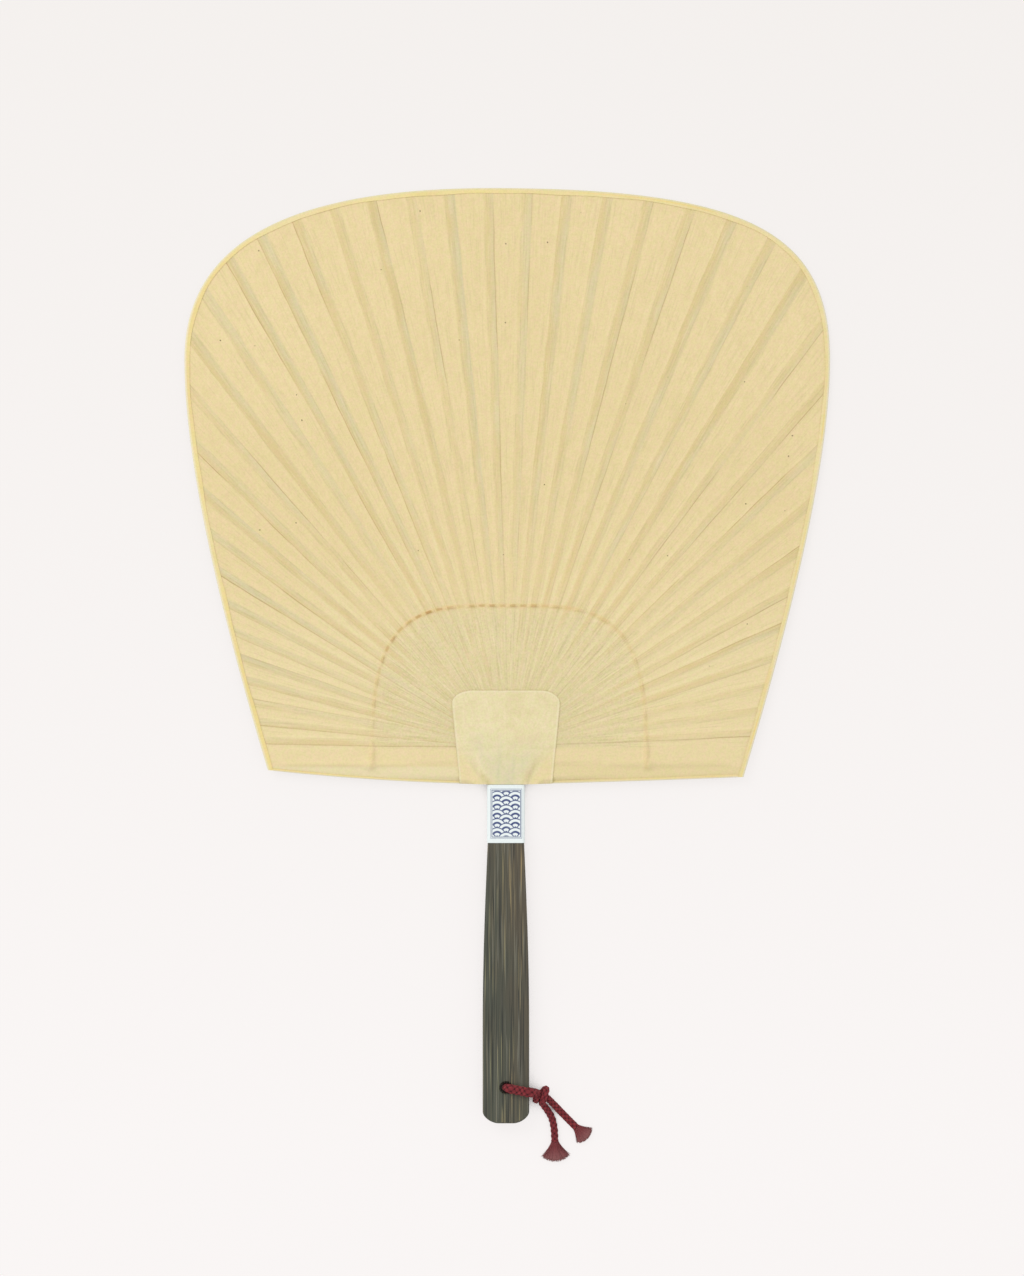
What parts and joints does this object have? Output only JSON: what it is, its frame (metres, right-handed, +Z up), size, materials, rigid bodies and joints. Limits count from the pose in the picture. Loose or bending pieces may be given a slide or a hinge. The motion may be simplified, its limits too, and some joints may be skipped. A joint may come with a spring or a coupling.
{
  "type": "square uchiwa fan",
  "caption": "Square-shouldered rigid hand fan: a ribbed bamboo frame papered on both sides, on a flat handle with a knotted cord through its end.",
  "frame": {"origin": "centre of the fan's footprint without its cord, on the surface it lies on", "axes": "+X to the fan's right seen from the front, +Y from the handle's end towards the top of the leaf, +Z up, out of the front paper"},
  "size_m": [0.2554, 0.3845, 0.0114],
  "materials": {
    "smoked_bamboo": "satin",
    "split_bamboo": "matte",
    "leaf_paper": "matte",
    "patch_paper": "matte",
    "strip_paper": "matte",
    "label_paper": "matte",
    "thread": "matte",
    "cord": "matte",
    "frayed_cord": "matte"
  },
  "bodies": {
    "fan": {"handle": "smoked_bamboo", "rib_01": "split_bamboo", "rib_02": "split_bamboo", "rib_03": "split_bamboo", "rib_04": "split_bamboo", "rib_05": "split_bamboo", "rib_06": "split_bamboo", "rib_07": "split_bamboo", "rib_08": "split_bamboo", "rib_09": "split_bamboo", "rib_10": "split_bamboo", "rib_11": "split_bamboo", "rib_12": "split_bamboo", "rib_13": "split_bamboo", "rib_14": "split_bamboo", "rib_15": "split_bamboo", "rib_16": "split_bamboo", "rib_17": "split_bamboo", "rib_18": "split_bamboo", "rib_19": "split_bamboo", "rib_20": "split_bamboo", "rib_21": "split_bamboo", "rib_22": "split_bamboo", "rib_23": "split_bamboo", "rib_24": "split_bamboo", "rib_25": "split_bamboo", "rib_26": "split_bamboo", "rib_27": "split_bamboo", "rib_28": "split_bamboo", "rib_29": "split_bamboo", "rib_30": "split_bamboo", "rib_31": "split_bamboo", "rib_32": "split_bamboo", "rib_33": "split_bamboo", "rib_34": "split_bamboo", "rib_35": "split_bamboo", "rib_36": "split_bamboo", "rib_37": "split_bamboo", "rib_38": "split_bamboo", "rib_39": "split_bamboo", "rib_40": "split_bamboo", "rib_41": "split_bamboo", "cross_stick": "split_bamboo", "weaving_string": "thread", "front_paper": "leaf_paper", "back_paper": "leaf_paper", "front_patch": "patch_paper", "back_patch": "patch_paper", "edge_strip": "strip_paper", "foot_strip_left": "strip_paper", "foot_strip_right": "strip_paper", "label_band": "label_paper"},
    "cord": {"hanging_cord": "cord", "frayed_end_left": "frayed_cord", "frayed_end_right": "frayed_cord"}
  },
  "joints": [
    {"name": "cord_swing", "type": "hinge", "parent": "fan", "child": "cord", "pos_m": [-0.00051, -0.17072, 0.0056], "axis": [0, 0.0134, 0.9999], "range_deg": [-8, 25]}
  ]
}
